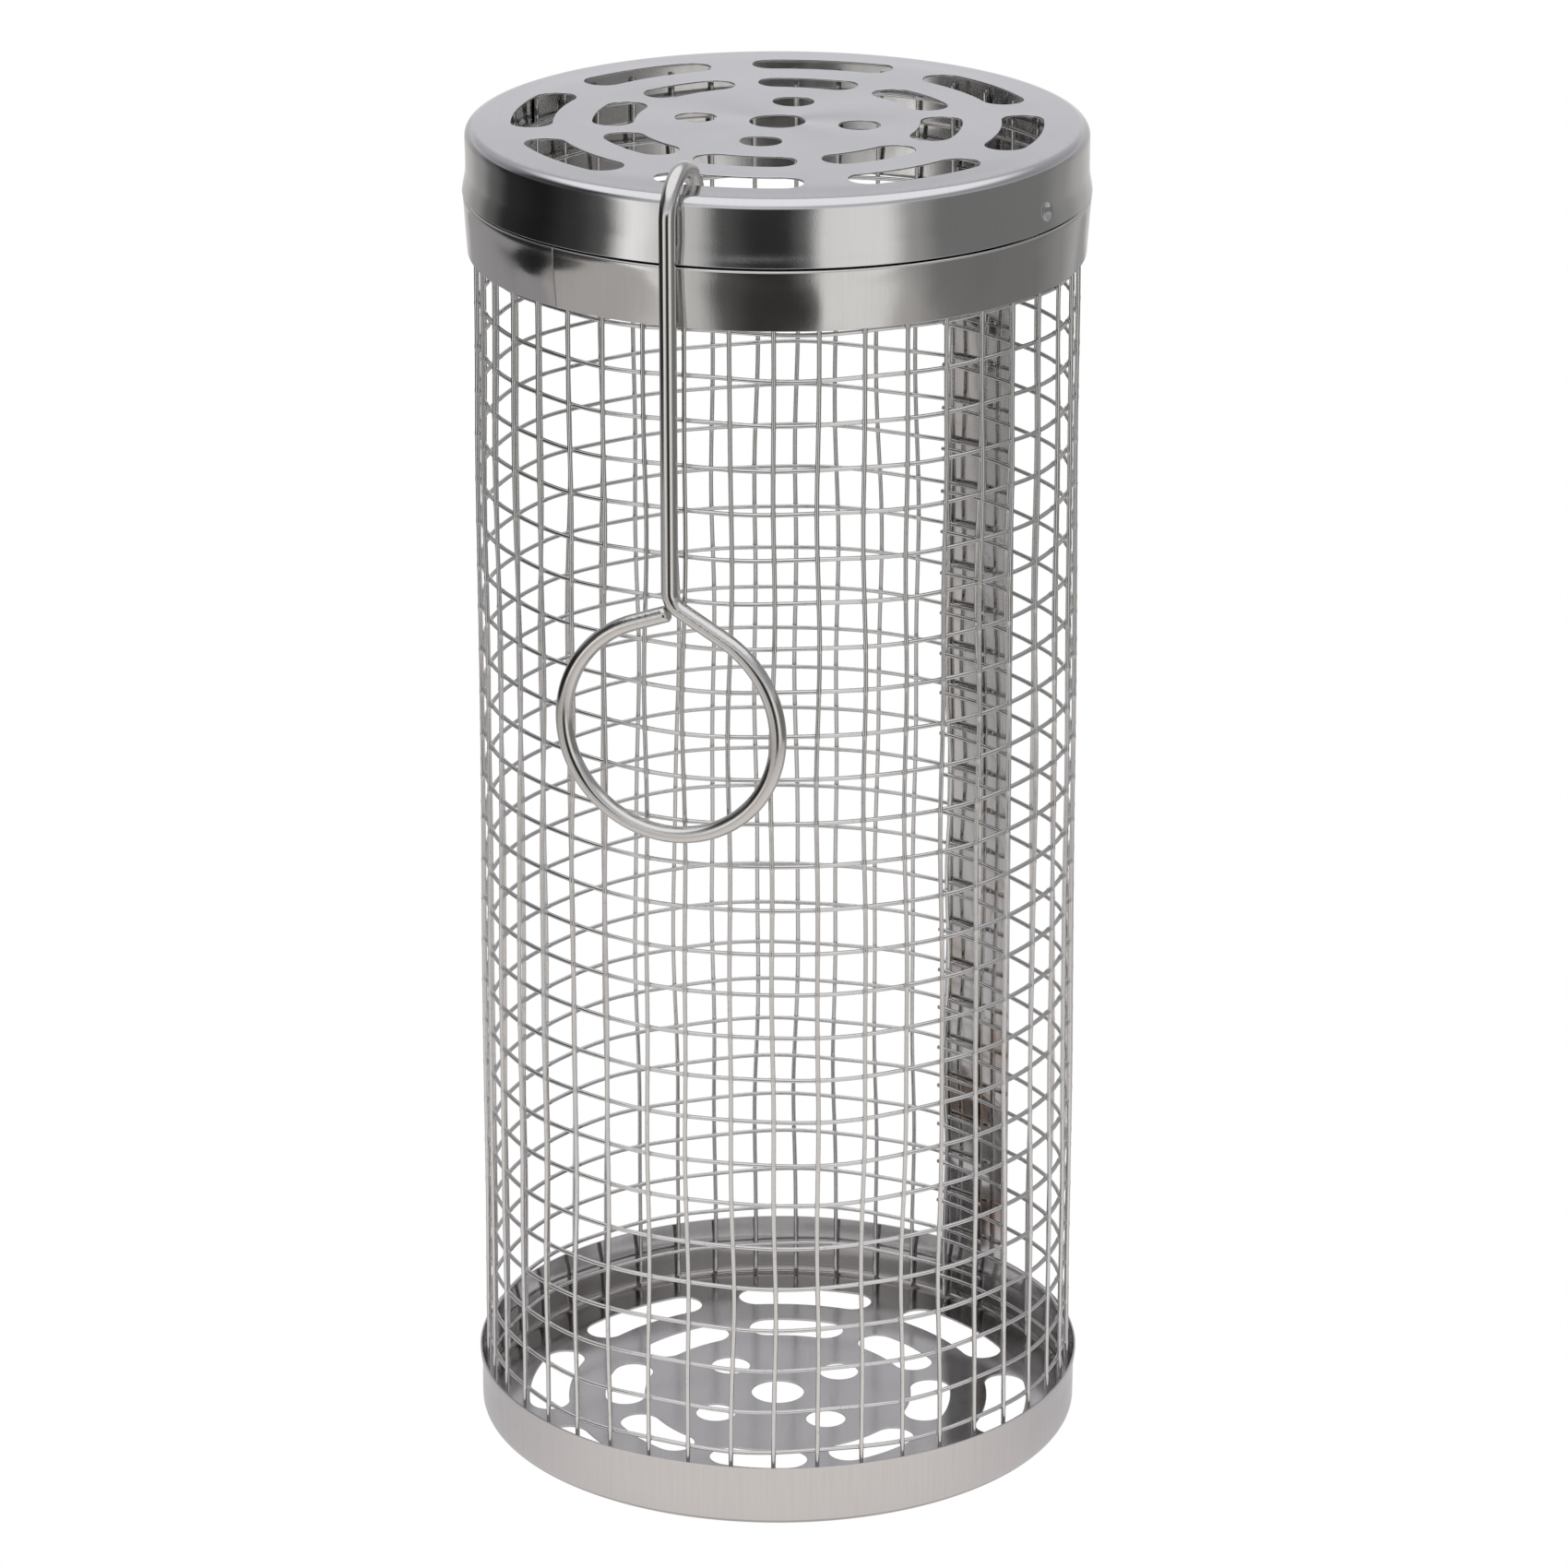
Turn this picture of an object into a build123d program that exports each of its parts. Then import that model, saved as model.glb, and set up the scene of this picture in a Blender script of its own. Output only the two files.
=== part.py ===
"""A round stainless wire-mesh grill basket with a lift-off lid and a hooked ring handle.

The basket stands on the origin with +Z up. The handle hangs on the -Y side, so -Y is the front.
Angles go round the +Z axis from +X, in degrees. Lengths are in millimetres.
"""

import os
from math import cos, degrees, radians, sin, tan

from build123d import *

# Overall sizes
total_height = 200.0
sheet = 0.3
front = -90.0

# Lid: a drawn cap with a lip that flares a little
lid_radius = 44.6
lid_height = 9.5
lid_corner = 1.5
lip_flare = 0.5
lip_height = 2.5
lip_bend = 2.5

# Bottom cup: the same kind of cap, the other way up
cup_radius = 45.1
cup_height = 9.5
cup_corner = 1.5
cup_rim_flare = 0.35

# Punching in the flat of both caps
centre_hole = 8.0
small_hole = 6.0
small_hole_circle = 11.9
slot_width = 6.0
slot_ring_step = 11.6
inner_slot_half_angle = 10.7
slot_past_hook_leg = 0.4
outer_slot_half_angle = 12.4
slot_count = 8
small_hole_count = 4
lid_pattern_angle = front + 7.5
cup_pattern_angle = front + 56.5

# Dimples pressed into the lid's skirt
dimple_angles = (front + 76.0, front + 256.0)
dimple_sphere = 2.2
dimple_depth = 0.5
dimple_above_lip = 2.6

# Collar: neck inside the lid, shoulder under its lip, band over the mesh
neck_clearance = 0.25
neck_below_lid = 1.5
shoulder_gap = 0.2
shoulder_inset = 0.15
band_height = 8.9
band_taper = 0.6
band_straight = 4.0
shoulder_inner_bend = 0.2
shoulder_outer_bend = 0.5
band_bend = 6.0
notch_width = 5.0
notch_below_dimple = 2.0
collar_seam_angle = front - 25.0
collar_seam_gap = 0.12

# Mesh: a welded sheet rolled into a tube that opens slightly towards the cup
mesh_wire = 0.65
weld_gap = 0.02
mesh_neck_clearance = 0.2
mesh_cup_clearance = 0.3
hoop_pitch = 6.5
hoop_foot_clearance = 0.65
top_hoop_below_lid = 6.4
upright_count = 45
uprights_per_node = 3
upright_foot = 1.0
upright_top_below_lid = 2.8
mesh_start_angle = front + 151.9
mesh_sweep = 370.2
stub_angle = 1.5
step_start_sweep = 327.0
step_half_angle = 16.0
overlap_clearance = 0.13

# Strip over the mesh's joint
strip_angle = front + 153.7
strip_width = 13.0
strip_cup_gap = 0.3
strip_into_collar = 3.0

# Handle: one bent wire
handle_wire = 2.4
handle_clearance = 0.3
hook_radius = 6.0
hook_axis_below_lid = 3.4
hook_leg = 5.0
ring_radius = 15.9
ring_centre_below_lid = 76.1
ring_bend_radius = 3.0
ring_rise_angle = 30.0
ring_end_angle = 20.0
ring_end_gap = 0.2

# Cuts that are deeper than what they cut through
punch_depth = 2 * sheet
notch_depth = 4 * sheet
seam_cut_depth = 4.0

# Sizes that follow from the ones above
lid_lip_z = total_height - lid_height
lid_inner_radius = lid_radius - sheet
neck_radius = lid_inner_radius - neck_clearance
neck_top_z = total_height - sheet - neck_below_lid
shoulder_z = lid_lip_z - shoulder_gap
band_low_z = shoulder_z - band_height
dimple_z = lid_lip_z + dimple_above_lip
upright_top_z = total_height - upright_top_below_lid
mesh_top_radius = neck_radius - sheet - mesh_neck_clearance
mesh_foot_radius = cup_radius - sheet - mesh_cup_clearance
lip_radius = lid_radius + lip_flare
handle_reach = lip_radius + handle_clearance + handle_wire / 2
hook_axis_radius = handle_reach - hook_radius
inner_leg_radius = hook_axis_radius - hook_radius
outer_slot_circle = inner_leg_radius + slot_past_hook_leg
inner_slot_circle = outer_slot_circle - slot_ring_step
shoulder_radius = lip_radius - shoulder_inset
step_depth = 2 * mesh_wire + weld_gap + overlap_clearance
top_hoop_z = total_height - top_hoop_below_lid
hoop_count = int((top_hoop_z - upright_foot - hoop_foot_clearance) / hoop_pitch) + 1
hook_axis_z = total_height - hook_axis_below_lid
ring_centre_z = total_height - ring_centre_below_lid
upright_align = (Align.CENTER, Align.CENTER, Align.MIN)


def mesh_radius(height):
    """Outside radius of the rolled mesh at a height: it opens from the neck to the cup."""
    share = (upright_top_z - height) / (upright_top_z - upright_foot)
    return mesh_top_radius + (mesh_foot_radius - mesh_top_radius) * share


def punch_pattern(start_angle):
    """The centre hole, the four small holes and the two rings of arc slots, in the active sketch."""
    Circle(centre_hole / 2)
    with PolarLocations(small_hole_circle, small_hole_count, start_angle=start_angle):
        Circle(small_hole / 2)
    for circle, half_angle in (
        (inner_slot_circle, inner_slot_half_angle),
        (outer_slot_circle, outer_slot_half_angle),
    ):
        for index in range(slot_count):
            angle = start_angle + index * 360 / slot_count
            middle = Edge.make_circle(circle, start_angle=angle - half_angle, end_angle=angle + half_angle)
            SlotArc(middle, slot_width)


def rolled_sheet_line(radius, height):
    """Half of the mesh sheet's section: a circle whose last stretch steps inwards past its own start."""
    ease = step_depth / (2 * (1 - cos(radians(step_half_angle))))
    tight_radius = radius - ease
    wide_radius = tight_radius + 2 * ease * cos(radians(step_half_angle))
    last_sweep = mesh_sweep - step_start_sweep - 2 * step_half_angle
    with BuildLine(Plane.XY.offset(height)) as path:
        outer = CenterArc((0, 0), radius, mesh_start_angle, step_start_sweep)
        inward = JernArc(outer @ 1, outer % 1, tight_radius, step_half_angle)
        level = JernArc(inward @ 1, inward % 1, wide_radius, step_half_angle)
        JernArc(level @ 1, level % 1, radius - step_depth, last_sweep)
    return path.wires()[0]


def around(radius, height, angles):
    """Places on a circle round the basket's axis, each one facing outwards."""
    return [
        Plane(
            origin=Vector(radius, 0, height).rotate(Axis.Z, angle),
            x_dir=Vector(1, 0, 0).rotate(Axis.Z, angle),
            z_dir=(0, 0, 1),
        )
        for angle in angles
    ]


def upright_section(angle):
    """The plane that holds the basket's axis and faces round it, at an angle."""
    outwards = Vector(1, 0, 0).rotate(Axis.Z, angle)
    return Plane(origin=(0, 0, 0), x_dir=outwards, z_dir=outwards.rotate(Axis.Z, -90))


def write(part, name):
    """Label a piece and write it as its own file."""
    part.label = name
    export_step(part, f"parts/{name}.step")


os.makedirs("parts", exist_ok=True)

# Lid: a drawn cap, punched, with two dimples that point inwards
dimple_places = around(lid_radius - dimple_depth + dimple_sphere, dimple_z, dimple_angles)
with BuildPart() as dimple_bumps:
    with Locations(dimple_places):
        Sphere(dimple_sphere + sheet)
    with Locations((0, 0, dimple_z)):
        Cylinder(lid_radius, 2 * (dimple_sphere + sheet), mode=Mode.INTERSECT)

with BuildPart() as lid:
    with BuildSketch(Plane.XZ):
        with BuildLine():
            FilletPolyline(
                (0, total_height),
                (lid_radius, total_height),
                (lid_radius, lid_lip_z + lip_height),
                (lip_radius, lid_lip_z),
                radius=(lid_corner, lip_bend),
            )
            offset(amount=sheet, side=Side.RIGHT)
        make_face()
    revolve(axis=Axis.Z)
    with BuildSketch(Plane.XY.offset(total_height)):
        punch_pattern(lid_pattern_angle)
    extrude(amount=-punch_depth, mode=Mode.SUBTRACT)
    add(dimple_bumps.part)
    with Locations(dimple_places):
        Sphere(dimple_sphere, mode=Mode.SUBTRACT)
write(lid.part, "lid")

# Bottom cup: the same cap the other way up, larger, so that the mesh stands inside it
with BuildPart() as bottom_cup:
    with BuildSketch(Plane.XZ):
        with BuildLine():
            FilletPolyline(
                (0, 0),
                (cup_radius, 0),
                (cup_radius, cup_height - lip_height),
                (cup_radius + cup_rim_flare, cup_height),
                radius=(cup_corner, lip_bend),
            )
            offset(amount=sheet, side=Side.LEFT)
        make_face()
    revolve(axis=Axis.Z)
    with BuildSketch():
        punch_pattern(cup_pattern_angle)
    extrude(amount=punch_depth, mode=Mode.SUBTRACT)
write(bottom_cup.part, "bottom_cup")

# Collar: one rolled strip, so it has a butt seam; its neck is notched to let the lid's dimples pass
with BuildPart() as collar:
    with BuildSketch(Plane.XZ):
        with BuildLine():
            FilletPolyline(
                (neck_radius, neck_top_z),
                (neck_radius, shoulder_z),
                (shoulder_radius, shoulder_z),
                (shoulder_radius, shoulder_z - band_straight),
                (shoulder_radius - band_taper, band_low_z),
                radius=(shoulder_inner_bend, shoulder_outer_bend, band_bend),
            )
            offset(amount=sheet, side=Side.RIGHT)
        make_face()
    revolve(axis=Axis.Z)
    with Locations(around(neck_radius, dimple_z - notch_below_dimple, dimple_angles)):
        Box(notch_depth, notch_width, lid_height, align=upright_align, mode=Mode.SUBTRACT)
    with Locations(around(neck_radius, 0, [collar_seam_angle])):
        Box(seam_cut_depth, collar_seam_gap, total_height, align=upright_align, mode=Mode.SUBTRACT)
write(collar.part, "collar")

# Strip down the outside of the mesh's joint, from just above the cup's rim up under the collar's band
strip_low_z = cup_height + strip_cup_gap
strip_high_z = band_low_z + strip_into_collar
strip_low_radius = mesh_radius(strip_low_z) + weld_gap
strip_high_radius = mesh_radius(strip_high_z) + weld_gap
strip_sweep = degrees(strip_width / strip_low_radius)
with BuildPart() as seam_strip:
    with BuildSketch(upright_section(strip_angle - strip_sweep / 2)):
        with BuildLine():
            Polyline(
                (strip_low_radius, strip_low_z),
                (strip_low_radius + sheet, strip_low_z),
                (strip_high_radius + sheet, strip_high_z),
                (strip_high_radius, strip_high_z),
                close=True,
            )
        make_face()
    revolve(axis=Axis.Z, revolution_arc=strip_sweep)
write(seam_strip.part, "seam_strip")

# Hoops: the mesh's horizontal wires, on the inside of the uprights
for index in range(hoop_count):
    hoop_z = top_hoop_z - index * hoop_pitch
    hoop_line = rolled_sheet_line(mesh_radius(hoop_z) - mesh_wire - weld_gap - mesh_wire / 2, hoop_z)
    with BuildPart() as hoop_wire:
        with BuildSketch(Plane(origin=hoop_line @ 0, z_dir=hoop_line % 0)):
            Circle(mesh_wire / 2)
        sweep(path=hoop_line)
    write(hoop_wire.part, f"hoop_wire_{index + 1:02d}")

# Uprights: the mesh's vertical wires, evenly spaced along the rolled sheet
upright_feet = rolled_sheet_line(mesh_radius(upright_foot) - mesh_wire / 2, upright_foot)
upright_tops = rolled_sheet_line(mesh_radius(upright_top_z) - mesh_wire / 2, upright_top_z)
upright_step = (mesh_sweep - 2 * stub_angle) / (upright_count - 1)
for group in range(upright_count // uprights_per_node):
    with BuildPart() as upright_wires:
        for index in range(group * uprights_per_node, (group + 1) * uprights_per_node):
            along = (stub_angle + index * upright_step) / mesh_sweep
            foot = upright_feet @ along
            top = upright_tops @ along
            with BuildSketch(Plane(origin=foot, z_dir=top - foot)):
                Circle(mesh_wire / 2)
            extrude(amount=(top - foot).length)
    write(upright_wires.part, f"upright_wires_{group + 1:02d}")

# Handle: a hook over the lid's edge into a slot, a straight shank and a ring eye, all one wire
ring_apex_z = ring_centre_z + ring_radius / cos(radians(ring_rise_angle))
bend_length = ring_bend_radius * tan(radians(90 - ring_rise_angle) / 2)
rise_length = ring_radius * tan(radians(ring_rise_angle)) - bend_length
end_length = (ring_radius * sin(radians(ring_end_angle)) - ring_end_gap) / cos(radians(ring_end_angle))
with BuildLine(Plane.YZ) as hook_line:
    Line((-inner_leg_radius, hook_axis_z - hook_leg), (-inner_leg_radius, hook_axis_z))
    CenterArc((-hook_axis_radius, hook_axis_z), hook_radius, 0, 180)
with BuildLine(Plane.XZ.offset(handle_reach)) as ring_line:
    shank = Line((0, hook_axis_z), (0, ring_apex_z + bend_length))
    bend = JernArc(shank @ 1, shank % 1, ring_bend_radius, 90 - ring_rise_angle)
    rise = Line(bend @ 1, bend @ 1 + (bend % 1) * rise_length)
    ring = JernArc(rise @ 1, rise % 1, ring_radius, ring_rise_angle + ring_end_angle - 360)
    Line(ring @ 1, ring @ 1 + (ring % 1) * end_length)
with BuildPart() as handle:
    with BuildLine() as handle_line:
        add(hook_line.line)
        add(ring_line.line)
    handle_path = handle_line.wires()[0]
    with BuildSketch(Plane(origin=handle_path @ 0, z_dir=handle_path % 0)):
        Circle(handle_wire / 2)
    sweep(path=handle_path)
write(handle.part, "handle")
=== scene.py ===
"""Looks of the wire-mesh grill basket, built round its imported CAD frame.

Lengths are in millimetres and become metres when a mesh is made. Angles go round the basket's axis.
The handle hangs on the -Y side, which is the front. Sheet pieces are mid-surfaces that are then
given their thickness; wires are tubes along the same lines as the CAD model's.
"""

from functools import partial
from math import cos, pi, radians, sin, tan

import bpy
import numpy as np
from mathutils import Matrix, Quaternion, Vector, geometry


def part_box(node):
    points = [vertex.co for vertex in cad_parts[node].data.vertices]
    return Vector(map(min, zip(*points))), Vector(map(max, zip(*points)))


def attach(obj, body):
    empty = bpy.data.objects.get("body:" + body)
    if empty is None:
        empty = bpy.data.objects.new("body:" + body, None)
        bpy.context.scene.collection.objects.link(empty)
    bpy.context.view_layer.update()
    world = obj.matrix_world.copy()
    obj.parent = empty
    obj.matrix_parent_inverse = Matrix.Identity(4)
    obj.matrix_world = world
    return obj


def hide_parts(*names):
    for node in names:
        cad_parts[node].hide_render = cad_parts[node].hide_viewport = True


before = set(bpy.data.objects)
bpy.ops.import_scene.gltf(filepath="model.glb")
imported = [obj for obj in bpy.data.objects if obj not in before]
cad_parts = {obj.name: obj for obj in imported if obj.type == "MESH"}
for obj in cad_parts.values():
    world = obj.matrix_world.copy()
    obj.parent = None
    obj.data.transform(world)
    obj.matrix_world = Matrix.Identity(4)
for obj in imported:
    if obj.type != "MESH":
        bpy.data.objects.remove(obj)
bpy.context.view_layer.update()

MM = 0.001


def node_box(node):
    """A CAD node's lowest and highest corners, in millimetres."""
    low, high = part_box(node)
    return np.array(low) / MM, np.array(high) / MM


# ---------------------------------------------------------------- sizes read from the frame
lid_low, lid_high = node_box("lid")
collar_low, collar_high = node_box("collar")
cup_low, cup_high = node_box("bottom_cup")
strip_low, strip_high = node_box("seam_strip")
handle_low, handle_high = node_box("handle")
hoop_nodes = sorted(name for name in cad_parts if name.startswith("hoop_wire"))
upright_nodes = sorted(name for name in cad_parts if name.startswith("upright_wires"))

# ---------------------------------------------------------------- sizes of the design
SHEET = 0.3
FRONT = -90.0

LID_CORNER = 1.5
LIP_FLARE = 0.5
LIP_HEIGHT = 2.5
LID_RADIUS = lid_high[0] - LIP_FLARE

CUP_CORNER = 1.5
CUP_FLARE = 0.35
CUP_RADIUS = cup_high[0] - CUP_FLARE

CENTRE_HOLE = 8.0
SMALL_HOLE = 6.0
SMALL_HOLE_CIRCLE = 11.9
SMALL_HOLES = 4
SLOT_WIDTH = 6.0
SLOT_RINGS = ((23.4, 10.7), (35.0, 12.4))
SLOTS = 8
LID_PATTERN = FRONT + 7.5
CUP_PATTERN = FRONT + 56.5

DIMPLES = (FRONT + 76.0, FRONT + 256.0)
DIMPLE_RADIUS = 1.35
DIMPLE_DEPTH = 0.5
DIMPLE_ABOVE_LIP = 2.6
DIMPLE_FINE_HEIGHT = (1.9, 0.19)  # millimetres each way from a dimple, and the rows' spacing there
DIMPLE_FINE_TURN = (3.0, 0.25)  # the same round the skirt, in degrees

FLARE_START = 0.9  # how far above the lip's height the lid's flare starts
FLARE_SPAN = 1.35  # heights of the lip over which it grows
FLARE_GAIN = 1.06
CUP_FLARE_SPAN = 1.5
CUP_FLARE_PAST_RIM = 0.6
CUP_FLARE_GAIN = 1.05
TURN_STEP = 0.9  # degrees between sections of a turned piece
WALL_BELOW_CORNER = 0.6
EDGE_DROOP = 0.10
FLAT_MARGIN = 8.0
SKIRT_EASE = 2.0

NECK_RADIUS = LID_RADIUS - SHEET - 0.25
SHOULDER_RADIUS = collar_high[0]
SHOULDER_Z = lid_low[2] - 0.2
BAND_TAPER = 0.6
NOTCH_WIDTH = 5.0
NOTCH_BELOW_DIMPLE = 2.0
COLLAR_SEAM = FRONT - 25.0
COLLAR_SEAM_GAP = 0.12
COLLAR_BEND = 0.45
COLLAR_INNER_CORNER = ((0, 0.4), (0.05, 0.12), (0.25, 0))  # outwards from the neck, and above the ledge
BAND_EASE = (0.6, 3.5)  # how far below the shoulder the band's unevenness starts, and is full
SEAM_LIFT = 0.06
SEAM_LIFT_TURN = 3.5
SEAM_FINE_STEPS = (0.1, 0.3)
# Places round the collar's band, from the front, with height, width and depth of each dent
COLLAR_DENTS = (
    (-31.0, 185.2, 2.6, 0.16),
    (27.4, 183.8, 4.0, 0.28),
    (70.0, 185.5, 3.4, -0.12),
    (128.0, 184.5, 3.0, 0.12),
    (205.0, 185.0, 4.0, -0.10),
)

WIRE = 0.65
MESH_FOOT_Z = 1.0
MESH_TOP_Z = lid_high[2] - 2.8
MESH_FOOT_RADIUS = CUP_RADIUS - SHEET - 0.3
MESH_TOP_RADIUS = NECK_RADIUS - SHEET - 0.2
HOOP_PITCH = 6.5
FIRST_HOOP_Z = lid_high[2] - 6.4
UPRIGHTS_PER_NODE = 3
UPRIGHTS = UPRIGHTS_PER_NODE * len(upright_nodes)
MESH_START = FRONT + 151.9
MESH_SWEEP = 370.2
STUB_ANGLE = 1.5
STEP_START = 327.0
STEP_HALF = 16.0
STEP_DEPTH = 1.45
MESH_MIDDLE_Z = 100.0
FREE_ABOVE_CUP = (11, 40)  # heights over which the mesh comes free of the cup
HELD_BY_COLLAR = (150, 178)  # heights over which the collar takes hold of it
HELD_SHARE = 0.35  # how much of a wire's wandering is left where the mesh is held
HELIX_DROP = 1.0  # a hoop's far end is this much lower than its start
EDGE_WAVE = 0.35  # the last upright waves by this much each way
EDGE_WAVE_HEIGHT = 5.1
UPRIGHT_JITTER = 0.28
HOOP_JITTER = 0.16
WELD_SINK = 0.13
WELD_SWELL = 0.13
WELD_REACH = 0.4
CUT_END = 0.8  # a cut wire end's radius, as a share of the wire's

STRIP_ANGLE = FRONT + 153.7
STRIP_WIDTH = 13.0
STRIP_WAVE = 0.03
STRIP_WELD_PUSH = 0.02
STRIP_WELD_REACH = 4.0

HANDLE_WIRE = 2.4
HOOK_RADIUS = 6.0
HOOK_LEG = 5.0
RING_RADIUS = 15.9
RING_BEND_RADIUS = 3.0
RING_RISE = 30.0
RING_END = 20.0
RING_END_GAP = 0.2
HANDLE_CHAMFER = 0.25
HANDLE_REACH = -handle_low[1] - HANDLE_WIRE / 2
HOOK_AXIS_Z = handle_high[2] - HOOK_RADIUS - HANDLE_WIRE / 2
RING_CENTRE_Z = handle_low[2] + RING_RADIUS + HANDLE_WIRE / 2

# Slight waves of each surface: size, whole waves round the axis, and wavelengths along it
LID_FLAT_WAVES = (0.035, (2, 5), (30, 60))
LID_SKIRT_WAVES = (0.03, (3, 14), (8, 20))
CUP_WALL_WAVES = (0.03, (3, 12), (9, 24))
COLLAR_WAVES = (0.055, (4, 16), (14, 30))
STRIP_WAVES = (1.0, (0, 8), (24, 90))
MESH_BOW_WAVES = (0.22, (2, 5), (60, 160))
UPRIGHT_LEAN_WAVES = (0.30, (2, 9), (35, 120))
HOOP_DIP_WAVES = (0.20, (3, 11), (60, 200))

# ---------------------------------------------------------------- camera and studio
CAMERA_AZIMUTH = 18.7
CAMERA_PITCH = 20.0
CAMERA_REACH = 869.2
CAMERA_HEIGHT = 415.8
CAMERA_ASIDE = 0.95
CAMERA_LENS = 143.5
CAMERA_SENSOR = 36
CAMERA_CLIP = (0.05, 10)

# The table top's corners, in millimetres to the camera's right and away from it
FLOOR_CORNERS = ((-531, -335), (350, -335), (350, 600), (-531, 600))
FLOOR_GAP = 0.02
FLOOR_FADE = (80, 450)  # distances from the axis over which the glow fades, and what is left of it
FLOOR_FAR_GLOW = 0.62
FLOOR_FRONT = (-58, 0)  # the glow turns from warm to cool between these places in front of the axis
FLOOR_WARM = (0.88, 0.84, 0.82)
FLOOR_COOL = (0.60, 0.585, 0.60)

# Angles above the horizon over which each part of the room gives way to the next
HIGH_WALL_RISE = (6, 12)
TOP_WALL_RISE = (14, 18)
CEILING_RISE = (33, 50)
CEILING = (1.15, 1.15, 1.18)
LOW_TINT = (1.0, 0.985, 0.965)
HIGH_TINT = (0.985, 0.985, 1.035)
TOP_SHADE = 0.78
# Stops round the room: degrees from the camera, rightwards, and a level
LOW_WALL = (
    (-180, 1.00),
    (-166, 0.62),
    (-158, 0.56),
    (-140, 0.36),
    (-128, 0.14),
    (-115, 0.03),
    (-95, 0.015),
    (-78, 0.04),
    (-66, 0.10),
    (-54, 1.20),
    (-40, 0.80),
    (-30, 0.70),
    (-20, 0.10),
    (-8, 0.035),
    (3, 0.035),
    (10, 0.14),
    (18, 0.95),
    (38, 0.98),
    (50, 0.40),
    (62, 0.22),
    (110, 0.23),
    (128, 0.33),
    (145, 0.50),
    (162, 0.62),
    (180, 1.00),
)
HIGH_WALL = (
    (-180, 0.74),
    (-150, 0.62),
    (-125, 0.40),
    (-105, 0.10),
    (-75, 0.08),
    (-50, 0.70),
    (-25, 0.95),
    (10, 0.80),
    (35, 0.80),
    (60, 0.55),
    (110, 0.45),
    (140, 0.55),
    (180, 0.74),
)

rng = np.random.default_rng(23)


# ---------------------------------------------------------------- mesh helpers
def unit(vectors):
    """The same vectors with length one."""
    return vectors / np.linalg.norm(vectors, axis=-1, keepdims=True)


def smooth(value, low, high):
    """0 below low, 1 above high, and a smooth step between."""
    share = np.clip((value - low) / (high - low), 0, 1)
    return share * share * (3 - 2 * share)


def ripple(size, turns, wavelengths, count=7):
    """A smooth random field over angle in radians and height in millimetres."""
    whole_turns = rng.integers(turns[0], turns[1] + 1, count)
    waves = 2 * pi / rng.uniform(wavelengths[0], wavelengths[1], count) * rng.choice((-1, 1), count)
    phases = rng.uniform(0, 2 * pi, count)

    def field(angle, height):
        total = sum(
            np.sin(turn * angle + wave * height + phase)
            for turn, wave, phase in zip(whole_turns, waves, phases)
        )
        return size * total / np.sqrt(count)

    return field


def add_piece(name, points, faces, material, body, nodes, normals=None):
    """A smooth-shaded object that stands for CAD nodes and rides on their body."""
    mesh = bpy.data.meshes.new(name)
    mesh.from_pydata((np.asarray(points) * MM).tolist(), [], faces)
    mesh.polygons.foreach_set("use_smooth", [True] * len(mesh.polygons))
    if normals is not None:
        mesh.normals_split_custom_set_from_vertices(normals.tolist())
    mesh.materials.append(material)
    mesh.update()
    piece = bpy.data.objects.new(name, mesh)
    bpy.context.scene.collection.objects.link(piece)
    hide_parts(*nodes)
    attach(piece, body)
    return piece


def surface_normals(points, faces):
    """A smooth normal at each point of a surface."""
    normals = np.zeros_like(points)
    for size in (3, 4):
        corners = np.array([face for face in faces if len(face) == size], int)
        if len(corners):
            cross = np.cross(
                points[corners[:, 2]] - points[corners[:, 0]],
                points[corners[:, -1]] - points[corners[:, 1]],
            )
            for column in range(size):
                np.add.at(normals, corners[:, column], cross)
    return unit(normals)


def thicken(points, faces, thickness=SHEET, edge=0.1):
    """A sheet of even thickness with softened edges round a mid-surface.

    The faces run anticlockwise seen from outside. Returns points, faces and normals.
    """
    normals = surface_normals(points, faces)
    sides = {(face[i - 1], face[i]) for face in faces for i in range(len(face))}
    rim = sorted((a, b) for a, b in sides if (b, a) not in sides)
    away = np.zeros_like(points)
    for a, b in rim:
        out = np.cross(points[b] - points[a], normals[a])
        away[a] += out
        away[b] += out
    rim_points = sorted({a for a, b in rim})
    away[rim_points] = unit(away[rim_points])
    half = thickness / 2
    slope = sin(radians(45))
    rings = (
        (-edge * (1 - slope), half - edge * (1 - slope), slope, slope),
        (0, half - edge, 1, 0),
        (0, edge - half, 1, 0),
        (-edge * (1 - slope), edge * (1 - slope) - half, slope, -slope),
    )
    all_points = [points - edge * away + half * normals]
    all_normals = [normals]
    for out, up, lean_out, lean_up in rings:
        all_points.append((points + out * away + up * normals)[rim_points])
        all_normals.append((lean_out * away + lean_up * normals)[rim_points])
    all_points.append(points - edge * away - half * normals)
    all_normals.append(-normals)
    place = {point: index for index, point in enumerate(rim_points)}
    count = len(points)
    back = count + len(rings) * len(rim_points)
    shell = [tuple(face) for face in faces]
    shell += [tuple(back + corner for corner in reversed(face)) for face in faces]
    for a, b in rim:
        steps_a = [a] + [count + k * len(rim_points) + place[a] for k in range(len(rings))] + [back + a]
        steps_b = [b] + [count + k * len(rim_points) + place[b] for k in range(len(rings))] + [back + b]
        for k in range(len(rings) + 1):
            shell.append((steps_b[k], steps_a[k], steps_a[k + 1], steps_b[k + 1]))
    return np.vstack(all_points), shell, unit(np.vstack(all_normals))


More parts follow.
